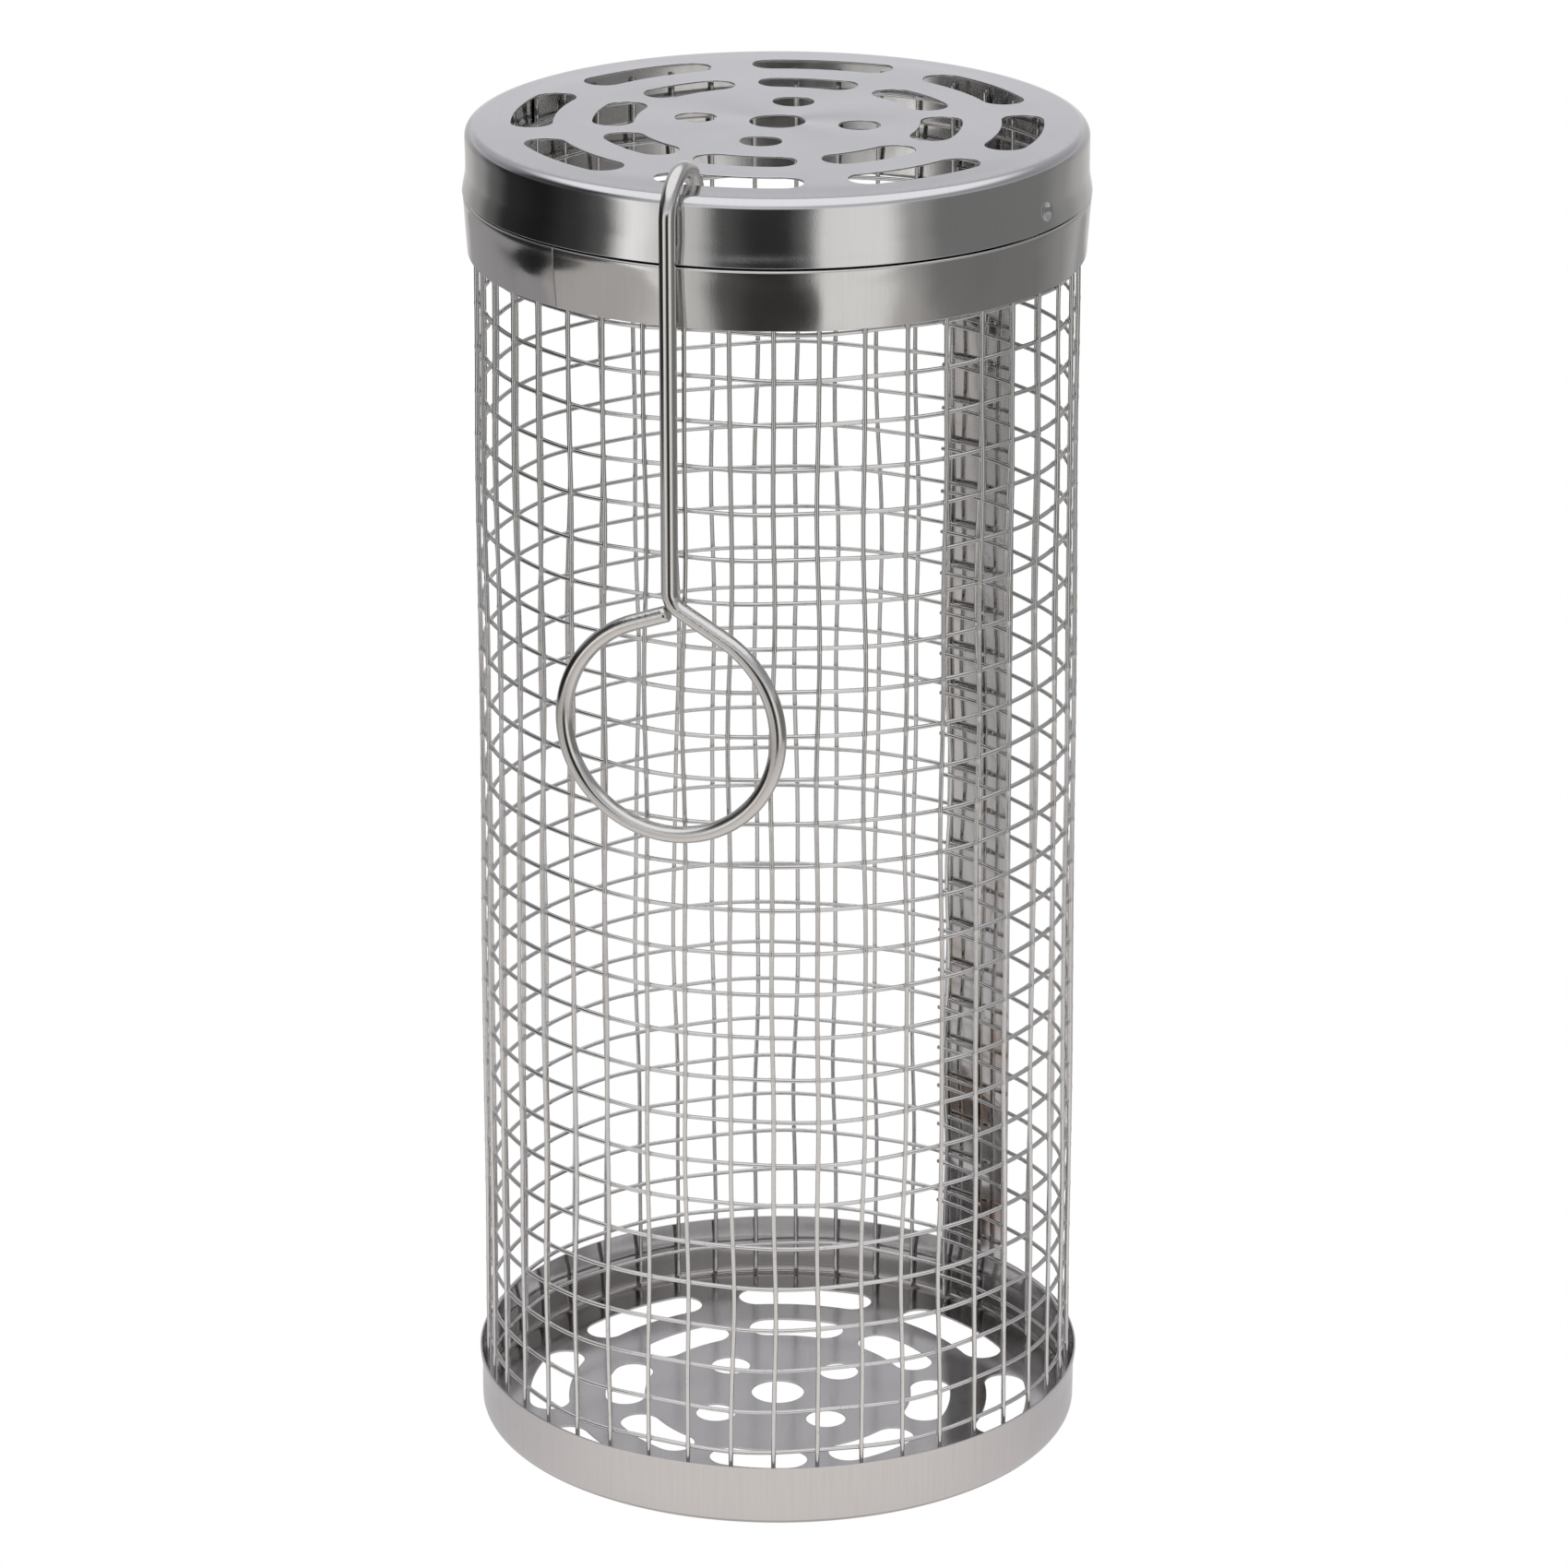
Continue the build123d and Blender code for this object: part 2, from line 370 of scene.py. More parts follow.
def drop_loose(points, faces):
    """The points that faces use, and the faces renumbered to them."""
    used = np.unique([corner for face in faces for corner in face])
    place = np.full(len(points), -1)
    place[used] = np.arange(len(used))
    return points[used], [tuple(int(place[corner]) for corner in face) for face in faces]


def turned(profile, angles, closed, keep=None):
    """A profile of (radius, height) turned to each angle, in degrees, as a grid of quads."""
    turns = np.radians(angles)[:, None]
    radius, height = profile[:, 0], profile[:, 1]
    level = np.broadcast_to(height, (len(angles), len(profile)))
    grid = np.stack([radius * np.cos(turns), radius * np.sin(turns), level], axis=-1)
    rows = len(profile)
    faces = []
    for j in range(len(angles) - (not closed)):
        following = (j + 1) % len(angles)
        for i in range(rows - 1):
            if keep is None or keep(j, i):
                faces.append((j * rows + i, j * rows + i + 1, following * rows + i + 1, following * rows + i))
    return grid.reshape(-1, 3), faces


def round_axis(points):
    """Each point's angle round the axis, and its outward direction."""
    turn = np.arctan2(points[:, 1], points[:, 0])
    return turn, np.stack([np.cos(turn), np.sin(turn), 0 * turn], axis=-1)


def arc_points(centre, radius, start, end, count):
    """Points on an arc, with angles in degrees, without its first one."""
    turns = np.radians(np.linspace(start, end, count + 1)[1:])
    return [(centre[0] + radius * cos(turn), centre[1] + radius * sin(turn)) for turn in turns]


# ---------------------------------------------------------------- punched caps
def slot_outline(circle, half_angle, middle_angle):
    """Outline of an arc slot with round ends, anticlockwise."""
    half_width = SLOT_WIDTH / 2
    arc_steps = max(6, int(radians(2 * half_angle) * circle / 0.6))
    start, end = middle_angle - half_angle, middle_angle + half_angle
    tip_a = (circle * cos(radians(start)), circle * sin(radians(start)))
    tip_b = (circle * cos(radians(end)), circle * sin(radians(end)))
    outline = arc_points((0, 0), circle + half_width, start, end, arc_steps)
    outline += arc_points(tip_b, half_width, end, end + 180, 14)
    outline += arc_points((0, 0), circle - half_width, end, start, arc_steps)
    outline += arc_points(tip_a, half_width, start + 180, start + 360, 14)
    return outline


def hole_outlines(pattern_angle):
    """Outlines of every hole in a cap's flat."""
    outlines = [arc_points((0, 0), CENTRE_HOLE / 2, 0, 360, 44)]
    for index in range(SMALL_HOLES):
        turn = radians(pattern_angle + index * 360 / SMALL_HOLES)
        middle = (SMALL_HOLE_CIRCLE * cos(turn), SMALL_HOLE_CIRCLE * sin(turn))
        outlines.append(arc_points(middle, SMALL_HOLE / 2, 0, 360, 36))
    for circle, half_angle in SLOT_RINGS:
        for index in range(SLOTS):
            outlines.append(slot_outline(circle, half_angle, pattern_angle + index * 360 / SLOTS))
    return outlines


def inside(points, outline):
    """Which points lie within a closed outline."""
    x, y = points[:, 0], points[:, 1]
    within = np.zeros(len(points), bool)
    for (x0, y0), (x1, y1) in zip(outline, outline[1:] + outline[:1]):
        if y0 != y1:
            within ^= ((y0 > y) != (y1 > y)) & (x < (x1 - x0) * (y - y0) / (y1 - y0) + x0)
    return within


def punched_flat(edge, outlines, spacing=1.7, clear=0.7):
    """Triangles between a round edge and the holes. The edge's points come first."""
    loops = [edge] + outlines
    fixed = np.array([point for loop in loops for point in loop])
    reach = np.abs(fixed).max()
    columns = np.arange(-reach, reach, spacing)
    rows = np.arange(-reach, reach, spacing * sin(radians(60)))
    inner = np.array([(x + (k % 2) * spacing / 2, y) for k, y in enumerate(rows) for x in columns])
    inner = inner[np.hypot(inner[:, 0], inner[:, 1]) < reach - clear]
    for outline in outlines:
        inner = inner[~inside(inner, outline)]
    gaps = np.array([np.hypot(*(fixed - point).T).min() for point in inner])
    inner = inner[gaps > clear]
    points = np.vstack([fixed, inner])
    links = []
    first = 0
    for loop in loops:
        links += [(first + i, first + (i + 1) % len(loop)) for i in range(len(loop))]
        first += len(loop)
    found = geometry.delaunay_2d_cdt([Vector(point) for point in points.tolist()], links, [], 1, 1e-6)
    origin = [sources[0] for sources in found[3]]
    faces = np.array([[origin[corner] for corner in face] for face in found[2]])
    middles = points[faces].mean(axis=1)
    solid = np.ones(len(faces), bool)
    for outline in outlines:
        solid &= ~inside(middles, outline)
    return points, faces[solid]


def with_extra(steps, centres, reach, fine):
    """Even steps with finer ones near some centres."""
    values = [value for value in steps if all(abs(value - centre) > reach for centre in centres)]
    for centre in centres:
        values += list(np.arange(centre - reach, centre + reach + fine / 2, fine))
    return np.array(sorted(values))


def capped(profile, angles, flat_row, pattern_angle, upwards):
    """A turned wall joined to a punched flat at one row of its profile."""
    wall, faces = turned(profile, angles, closed=True)
    rows = len(profile)
    edge_points = np.arange(len(angles)) * rows + flat_row
    edge = [tuple(point) for point in wall[edge_points, :2].tolist()]
    flat, triangles = punched_flat(edge, hole_outlines(pattern_angle))
    place = np.concatenate([edge_points, len(wall) + np.arange(len(flat) - len(edge))])
    height = np.full((len(flat) - len(edge), 1), profile[flat_row, 1])
    points = np.vstack([wall, np.hstack([flat[len(edge):], height])])
    ordered = triangles if upwards else triangles[:, ::-1]
    faces += [tuple(int(place[corner]) for corner in face) for face in ordered]
    return points, faces


def lid_shell():
    """The lid's punched top, its rounded edge, and a skirt with two dimples and a flared lip."""
    radius = LID_RADIUS - SHEET / 2
    top = lid_high[2] - SHEET / 2
    corner = LID_CORNER - SHEET / 2
    dimple_z = lid_low[2] + DIMPLE_ABOVE_LIP
    flare_z = lid_low[2] + LIP_HEIGHT
    profile = [(radius - corner, top)]
    profile += arc_points((radius - corner, top - corner), corner, 90, 0, 9)
    wall_top = top - corner - WALL_BELOW_CORNER
    heights = with_extra(np.linspace(wall_top, lid_low[2], 14), [dimple_z], *DIMPLE_FINE_HEIGHT)
    for height in heights[::-1]:
        flare = LIP_FLARE * smooth(flare_z - height, -FLARE_START, FLARE_SPAN * LIP_HEIGHT) * FLARE_GAIN
        profile.append((radius + flare, height))
    dimple_turns = [angle % 360 for angle in DIMPLES]
    angles = with_extra(np.arange(0, 360, TURN_STEP), dimple_turns, *DIMPLE_FINE_TURN)
    points, faces = capped(np.array(profile), angles, 0, LID_PATTERN, upwards=True)
    turn, outwards = round_axis(points)
    for angle in DIMPLES:
        centre = (LID_RADIUS * cos(radians(angle)), LID_RADIUS * sin(radians(angle)), dimple_z)
        distance = np.linalg.norm(points - centre, axis=1) / DIMPLE_RADIUS
        bowl = np.maximum(1 - distance**2, 0)
        points -= outwards * (DIMPLE_DEPTH * bowl)[:, None]
    span = np.hypot(points[:, 0], points[:, 1])
    sway = ripple(*LID_FLAT_WAVES)
    inner_share = 1 - smooth(span, radius - FLAT_MARGIN, radius - SKIRT_EASE)
    on_flat = (np.abs(points[:, 2] - top) < 0.01) * inner_share
    points[:, 2] += on_flat * sway(turn, span)
    near_edge = smooth(span, radius - FLAT_MARGIN, radius - corner)
    near_top = smooth(points[:, 2], top - corner - SKIRT_EASE, top - corner)
    points[:, 2] -= EDGE_DROOP * near_edge * near_top
    skirt = smooth(top - points[:, 2], corner, corner + SKIRT_EASE)
    points += outwards * (skirt * ripple(*LID_SKIRT_WAVES)(turn, points[:, 2]))[:, None]
    return thicken(points, faces)


def cup_shell():
    """The bottom cup: its rim flares a little and its flat is punched."""
    radius = CUP_RADIUS - SHEET / 2
    base = cup_low[2] + SHEET / 2
    corner = CUP_CORNER - SHEET / 2
    profile = []
    flare_foot = cup_high[2] - CUP_FLARE_SPAN * LIP_HEIGHT
    for height in np.linspace(cup_high[2], base + corner + WALL_BELOW_CORNER, 16):
        flare = CUP_FLARE * smooth(height, flare_foot, cup_high[2] + CUP_FLARE_PAST_RIM)
        profile.append((radius + flare * CUP_FLARE_GAIN, height))
    profile.append((radius, base + corner))
    profile += arc_points((radius - corner, base + corner), corner, 0, -90, 9)
    angles = np.arange(0, 360, TURN_STEP)
    points, faces = capped(np.array(profile), angles, len(profile) - 1, CUP_PATTERN, upwards=False)
    turn, outwards = round_axis(points)
    wall = smooth(points[:, 2], corner, corner + SKIRT_EASE)
    points += outwards * (wall * ripple(*CUP_WALL_WAVES)(turn, points[:, 2]))[:, None]
    return thicken(points, faces)


def collar_ring():
    """The rolled collar: neck with two notches, shoulder, tapered band, and an open butt seam."""
    neck = NECK_RADIUS - SHEET / 2
    shoulder = SHOULDER_RADIUS - SHEET / 2
    ledge = SHOULDER_Z - SHEET / 2
    bend = COLLAR_BEND
    notch_z = lid_low[2] + DIMPLE_ABOVE_LIP - NOTCH_BELOW_DIMPLE
    profile = [(neck, height) for height in np.linspace(collar_high[2], notch_z, 12)]
    profile += [(neck + out, ledge + up) for out, up in COLLAR_INNER_CORNER]
    profile += [(shoulder - bend, ledge)]
    profile += arc_points((shoulder - bend, ledge - bend), bend, 90, 0, 6)
    for height in np.linspace(ledge - bend - 0.5, collar_low[2], 20):
        share = (ledge - bend - height) / (ledge - bend - collar_low[2])
        profile.append((shoulder - BAND_TAPER * share, height))
    profile = np.array(profile)
    gap = np.degrees(COLLAR_SEAM_GAP / 2 / shoulder)
    start, end = COLLAR_SEAM + gap, COLLAR_SEAM + 360 - gap
    half_notch = np.degrees(NOTCH_WIDTH / 2 / neck)
    sides = [(angle + side - start) % 360 + start for angle in DIMPLES for side in (-half_notch, half_notch)]
    steps = np.arange(start, end - 0.4, TURN_STEP)
    steps = [step for step in steps if min(abs(step - side) for side in sides) > 0.3]
    seam_steps = [start + step for step in SEAM_FINE_STEPS] + [end - step for step in SEAM_FINE_STEPS] + [end]
    angles = np.array(sorted(steps + sides + seam_steps))
    middles = (angles[:-1] + angles[1:]) / 2

    def keep(j, i):
        in_notch = any(abs((middles[j] - angle + 180) % 360 - 180) < half_notch for angle in DIMPLES)
        return not (in_notch and profile[i + 1, 1] >= notch_z - 0.01)

    points, faces = turned(profile, angles, closed=False, keep=keep)
    turn, outwards = round_axis(points)
    band = smooth(SHOULDER_Z - points[:, 2], *BAND_EASE)
    push = band * ripple(*COLLAR_WAVES)(turn, points[:, 2])
    for along, height, width, depth in COLLAR_DENTS:
        offset = (turn - radians(FRONT + along) + pi) % (2 * pi) - pi
        spot = ((offset * shoulder) ** 2 + (points[:, 2] - height) ** 2) / width**2
        push += band * depth * np.exp(-spot)
    from_seam = np.repeat(np.minimum(angles - start, end - angles), len(profile))
    lead = np.repeat(np.where(angles - start < 180, 1.0, -1.0), len(profile))
    push += band * lead * SEAM_LIFT * (1 - smooth(from_seam, 0, SEAM_LIFT_TURN))
    points += outwards * push[:, None]
    return thicken(*drop_loose(points, faces))


def strip_plate():
    """The polished strip outside the mesh's joint, rippled where it is welded to the hoops."""
    low_z, high_z = strip_low[2], strip_high[2]
    half = np.degrees(STRIP_WIDTH / 2 / mesh_radius(low_z))
    heights = np.linspace(high_z, low_z, 220)
    profile = np.array([(mesh_radius(height) + SHEET / 2, height) for height in heights])
    angles = np.linspace(STRIP_ANGLE - half, STRIP_ANGLE + half, 25)
    points, faces = turned(profile, angles, closed=False)
    turn, outwards = round_axis(points)
    across = (turn - radians(STRIP_ANGLE)) * mesh_radius(MESH_MIDDLE_Z)
    push = STRIP_WAVE * np.abs(ripple(*STRIP_WAVES)(turn, points[:, 2]))
    weld_wave = 1 + np.sin(2 * pi * (points[:, 2] - FIRST_HOOP_Z) / HOOP_PITCH)
    push += STRIP_WELD_PUSH * weld_wave * np.exp(-((across / STRIP_WELD_REACH) ** 2))
    points += outwards * push[:, None]
    return thicken(points, faces)


# ---------------------------------------------------------------- rolled wire mesh
def mesh_radius(height):
    """Outside radius of the rolled mesh at a height."""
    share = (MESH_TOP_Z - height) / (MESH_TOP_Z - MESH_FOOT_Z)
    return MESH_TOP_RADIUS + (MESH_FOOT_RADIUS - MESH_TOP_RADIUS) * share


def rolled_line(radius, along):
    """Points at shares of the rolled sheet's section, and the outward directions there.

    The section is a circle whose last stretch steps inwards past its own start.
    """
    half = radians(STEP_HALF)
    ease = STEP_DEPTH / (2 * (1 - cos(half)))
    radii = np.array([radius, radius - ease, radius - ease + 2 * ease * cos(half), radius - STEP_DEPTH])
    sweeps = np.radians([STEP_START, STEP_HALF, STEP_HALF, MESH_SWEEP - STEP_START - 2 * STEP_HALF])
    ends = np.cumsum(radii * sweeps)
    turns = radians(MESH_START) + np.concatenate([[0], np.cumsum(sweeps)])
    centres = [np.zeros(2)]
    for k in range(1, len(radii)):
        outwards = np.array([cos(turns[k]), sin(turns[k])])
        centres.append(centres[-1] + (radii[k - 1] - radii[k]) * outwards)
    length = along * ends[-1]
    piece = np.minimum(np.searchsorted(ends, length), len(radii) - 1)
    starts = np.concatenate([[0], ends[:-1]])
    turn = turns[piece] + (length - starts[piece]) / radii[piece]
    outwards = np.stack([np.cos(turn), np.sin(turn)], axis=-1)
    return np.array(centres)[piece] + radii[piece][:, None] * outwards, outwards, ends[-1]


bow = ripple(*MESH_BOW_WAVES)
lean = ripple(*UPRIGHT_LEAN_WAVES)
dip = ripple(*HOOP_DIP_WAVES)
upright_jitter = rng.uniform(-UPRIGHT_JITTER, UPRIGHT_JITTER, UPRIGHTS)
hoop_jitter = rng.uniform(-HOOP_JITTER, HOOP_JITTER, len(hoop_nodes))


def in_open(height):
    """1 where the mesh hangs free between the cup and the collar, 0 inside them."""
    return smooth(height, *FREE_ABOVE_CUP) * (1 - smooth(height, *HELD_BY_COLLAR))


def upright_share(index, height):
    """Where an upright crosses a height, as a share of the rolled sheet's length."""
    even = (STUB_ANGLE + index * (MESH_SWEEP - 2 * STUB_ANGLE) / (UPRIGHTS - 1)) / MESH_SWEEP
    turn = radians(MESH_START + even * MESH_SWEEP)
    aside = upright_jitter[index] + lean(turn, height)
    if index == UPRIGHTS - 1:
        aside = aside + EDGE_WAVE * np.sin(height / EDGE_WAVE_HEIGHT)
    freedom = HELD_SHARE + (1 - HELD_SHARE) * in_open(height)
    return even + aside * freedom / (mesh_radius(height) * radians(MESH_SWEEP))


def hoop_height(index, along):
    """A hoop's height at shares of the rolled sheet's length."""
    level = FIRST_HOOP_Z - index * HOOP_PITCH
    turn = radians(MESH_START) + along * radians(MESH_SWEEP)
    return level + hoop_jitter[index] + HELIX_DROP * (0.5 - along) + dip(turn, level)


def tube(centres, outwards, sideways, radii, sides=8):
    """A closed tube. At each centre, outwards, sideways and the way on are a right-handed set."""
    turns = np.arange(sides) * 2 * pi / sides
    ring = np.cos(turns)[:, None] * outwards[:, None] + np.sin(turns)[:, None] * sideways[:, None]
    body = (centres[:, None] + radii[:, None, None] * ring).reshape(-1, 3)
    count = len(centres)
    points = np.vstack([body, centres[:1], centres[-1:]])
    faces = []
    for i in range(count - 1):
        for k in range(sides):
            after = (k + 1) % sides
            faces.append((i * sides + k, i * sides + after, (i + 1) * sides + after, (i + 1) * sides + k))
    last = (count - 1) * sides
    for k in range(sides):
        after = (k + 1) % sides
        faces.append((after, k, count * sides))
        faces.append((last + k, last + after, count * sides + 1))
    return points, faces


def stations(low, high, crossings, spread=(-0.9, -0.45, -0.2, 0, 0.2, 0.45, 0.9), between=2):
    """Places along a wire: close together at each crossing, with a few between crossings."""
    marks = [low, low + 0.05, high - 0.05, high]
    for crossing in crossings:
        marks += [crossing + step for step in spread]
    for before, after in zip(crossings[:-1], crossings[1:]):
        marks += list(np.linspace(before + spread[-1], after + spread[0], between + 2)[1:-1])
    return np.array(sorted(mark for mark in marks if low <= mark <= high))


def wire_radii(places, crossings):
    """A wire's radius along it: a little squeezed out at each weld, chamfered at its cut ends."""
    nearest = np.abs(places[:, None] - np.asarray(crossings)[None]).min(axis=1)
    radii = WIRE / 2 * (1 + WELD_SWELL * np.exp(-((nearest / WELD_REACH) ** 2)))
    radii[[0, -1]] *= CUT_END
    return radii


def hoop(index):
    """One horizontal wire, on the inside of the uprights."""
    level = FIRST_HOOP_Z - index * HOOP_PITCH
    radius = mesh_radius(level) - 1.5 * WIRE + WELD_SINK
    length = rolled_line(radius, np.zeros(1))[2]
    crossings = [upright_share(k, level) * length for k in range(UPRIGHTS)]
    places = stations(0, length, crossings)
    along = places / length
    flat, flat_out, _ = rolled_line(radius, along)
    height = hoop_height(index, along)
    turn = radians(MESH_START) + along * radians(MESH_SWEEP)
    flat = flat + flat_out * (bow(turn, level) * in_open(level))[:, None]
    centres = np.hstack([flat, height[:, None]])
    outwards = np.hstack([flat_out, np.zeros((len(flat), 1))])
    sideways = np.broadcast_to((0.0, 0.0, -1.0), outwards.shape)
    return tube(centres, outwards, sideways, wire_radii(places, crossings))


def upright(index):
    """One vertical wire."""
    even = upright_share(index, MESH_MIDDLE_Z)
    crossings = [float(hoop_height(k, even)) for k in range(len(hoop_nodes) - 1, -1, -1)]
    heights = stations(MESH_FOOT_Z, MESH_TOP_Z, crossings)
    centres = []
    outwards = []
    for height in heights:
        share = np.array([upright_share(index, height)])
        flat, flat_out, _ = rolled_line(mesh_radius(height) - WIRE / 2, share)
        turn = radians(MESH_START) + share * radians(MESH_SWEEP)
        flat = flat + flat_out * (bow(turn, height) * in_open(height))[:, None]
        centres.append((*flat[0], height))
        outwards.append((*flat_out[0], 0.0))
    outwards = np.array(outwards)
    sideways = np.cross((0.0, 0.0, 1.0), outwards)
    return tube(np.array(centres), outwards, sideways, wire_radii(heights, crossings))


def joined(parts):
    """Several closed meshes as one."""
    points = []
    faces = []
    count = 0
    for part_points, part_faces in parts:
        points.append(part_points)
        faces += [tuple(count + corner for corner in face) for face in part_faces]
        count += len(part_points)
    return np.vstack(points), faces


# ---------------------------------------------------------------- handle
def handle_line():
    """The handle's centre line and the sideways direction along it, walked from the hook's inner end."""
    ring_apex = RING_CENTRE_Z + RING_RADIUS / cos(radians(RING_RISE))
    bend_run = RING_BEND_RADIUS * tan(radians(90 - RING_RISE) / 2)
    rise = RING_RADIUS * tan(radians(RING_RISE)) - bend_run
    end_run = (RING_RADIUS * sin(radians(RING_END)) - RING_END_GAP) / cos(radians(RING_END))
    side = Vector((1, 0, 0))
    facing = Vector((0, -1, 0))
    ring_turn = RING_RISE + RING_END - 360
    walk = (
        (HOOK_LEG, 0, side, 8),
        (HOOK_RADIUS * pi, 180, side, 48),
        (HOOK_AXIS_Z - ring_apex - bend_run, 0, side, 60),
        (RING_BEND_RADIUS * radians(90 - RING_RISE), 90 - RING_RISE, facing, 16),
        (rise, 0, facing, 8),
        (RING_RADIUS * radians(-ring_turn), ring_turn, facing, 150),
        (end_run, 0, facing, 8),
    )
    place = Vector((0, 2 * HOOK_RADIUS - HANDLE_REACH, HOOK_AXIS_Z - HOOK_LEG))
    heading = Vector((0, 0, 1))
    out = Vector((0, 1, 0))
    centres = [place.copy()]
    outs = [out.copy()]
    headings = [heading.copy()]
    for length, turn, axis, count in walk:
        for _ in range(count):
            step = radians(turn) / count
            chord = length / count * (sin(step / 2) / (step / 2) if turn else 1)
            for vector in (heading, out):
                vector.rotate(Quaternion(axis, step / 2))
            place = place + heading * chord
            for vector in (heading, out):
                vector.rotate(Quaternion(axis, step / 2))
            centres.append(place.copy())
            outs.append(out.copy())
            headings.append(heading.copy())
    return np.array(centres), np.array(outs), np.array(headings)


def handle_wire():
    """The handle's bent wire, with slightly chamfered cut ends."""
    centres, outs, headings = handle_line()
    radii = np.full(len(centres), HANDLE_WIRE / 2)
    for end, way in ((0, 1), (-1, -1)):
        tip = centres[end].copy()
        centres[end] = tip + way * HANDLE_CHAMFER * headings[end]
        at = 0 if end == 0 else len(centres)
        centres = np.insert(centres, at, tip, axis=0)
        outs = np.insert(outs, at, outs[end], axis=0)
        headings = np.insert(headings, at, headings[end], axis=0)
        radii = np.insert(radii, at, HANDLE_WIRE / 2 - HANDLE_CHAMFER)
    sideways = np.cross(headings, outs)
    return tube(centres, outs, sideways, radii, sides=32)


# ---------------------------------------------------------------- materials
def add_node(tree, kind, inputs=(), **settings):
    """A node with settings, whose named inputs are values or other nodes' outputs."""
    node = tree.nodes.new(kind)
    for key, value in settings.items():
        setattr(node, key, value)
    for key, value in dict(inputs).items():
        if isinstance(value, bpy.types.NodeSocket):
            tree.links.new(value, node.inputs[key])
        else:
            node.inputs[key].default_value = value
    return node


def mixed_colours(tree, share, first, second):
    """One of two colours, by share."""
    mix = add_node(tree, "ShaderNodeMix", {"Factor": share}, data_type="RGBA")
    for key, value in (("A", first), ("B", second)):
        socket = next(s for s in mix.inputs if s.name == key and s.type == "RGBA")
        if isinstance(value, bpy.types.NodeSocket):
            tree.links.new(value, socket)
        else:
            socket.default_value = (*value, 1)
    return next(s for s in mix.outputs if s.type == "RGBA")


class Finish:
    """A material whose nodes are added by short calls."""

    def __init__(self, name, colour, roughness):
        self.material = bpy.data.materials.new(name)
        self.material.use_nodes = True
        self.tree = self.material.node_tree
        self.shader = self.tree.nodes["Principled BSDF"]
        self.shader.inputs["Metallic"].default_value = 1.0
        self.shader.inputs["Base Color"].default_value = (*colour, 1)
        self.shader.inputs["Roughness"].default_value = roughness
        self.place = self.add("ShaderNodeTexCoord").outputs["Object"]

    def add(self, kind, inputs=(), **settings):
        """A node in this material."""
        return add_node(self.tree, kind, inputs, **settings)

    def noise(self, scale, stretch=(1, 1, 1), turn=0.0, detail=2.0, shift=0.0):
        """Noise with a scale per metre, stretched along axes turned about Z."""
        mapping = self.add(
            "ShaderNodeMapping",
            {"Vector": self.place, "Rotation": (0, 0, radians(turn)), "Location": (shift, shift, shift)},
        )
        stretched = self.vectors("MULTIPLY", mapping.outputs[0], stretch)
        texture = self.add(
            "ShaderNodeTexNoise", {"Vector": stretched.outputs[0], "Scale": scale, "Detail": detail}
        )
        return texture.outputs["Fac"]

    def ranged(self, value, low, high, to_low, to_high):
        """A value between two levels brought to a new range, with smooth ends."""
        node = self.add(
            "ShaderNodeMapRange",
            {"Value": value, "From Min": low, "From Max": high, "To Min": to_low, "To Max": to_high},
            interpolation_type="SMOOTHSTEP",
        )
        return node.outputs[0]

    def maths(self, operation, first, second=0.0):
        """One arithmetic step."""
        return self.add("ShaderNodeMath", {0: first, 1: second}, operation=operation).outputs[0]

    def vectors(self, operation, first, second=(0, 0, 0)):
        """One step of vector arithmetic."""
        return self.add("ShaderNodeVectorMath", {0: first, 1: second}, operation=operation)

    def mixed(self, share, first, second):
        """One of two colours, by share, in this material."""
        return mixed_colours(self.tree, share, first, second)

    def connect(self, key, value):
        """Drive one of the shader's sockets."""
        self.tree.links.new(value, self.shader.inputs[key])

    def bumps(self, *levels):
        """Relief from several heights, each with its depth in millimetres."""
        normal = None
        for height, depth in levels:
            inputs = {"Height": height, "Distance": depth * MM, "Strength": 1.0}
            if normal is not None:
                inputs["Normal"] = normal
            normal = self.add("ShaderNodeBump", inputs).outputs[0]
        self.connect("Normal", normal)


def sheet_steel(name, light, dark, roughness, grain, streak):
    """Satin sheet steel: fine grain, faint rolling lines, soft stains and small scratches."""
    finish = Finish(name, light, roughness)
    fine = finish.noise(3600, detail=3)
    blotch = finish.noise(70, detail=3, shift=0.3)
    lines = finish.noise(60, stretch=(42, 1.6, 1.6), turn=-CAMERA_AZIMUTH, detail=4)
    scratches = finish.noise(90, stretch=(2.2, 60, 14), turn=31, detail=5)
    stain = finish.ranged(finish.noise(45, detail=4, shift=0.7), 0.56, 0.72, 0, 0.35)
    worn = finish.maths("ADD", stain, finish.ranged(lines, 0.35, 0.75, 0, 0.18))
    finish.connect("Base Color", finish.mixed(worn, light, dark))
    rough = finish.ranged(blotch, 0.3, 0.7, roughness - 0.025, roughness + 0.03)
    rough = finish.maths("ADD", rough, finish.ranged(fine, 0.3, 0.7, -0.01, 0.02))
    finish.connect("Roughness", rough)
    finish.bumps((fine, grain), (lines, streak), (scratches, streak * 0.6), (blotch, 0.02))
    return finish


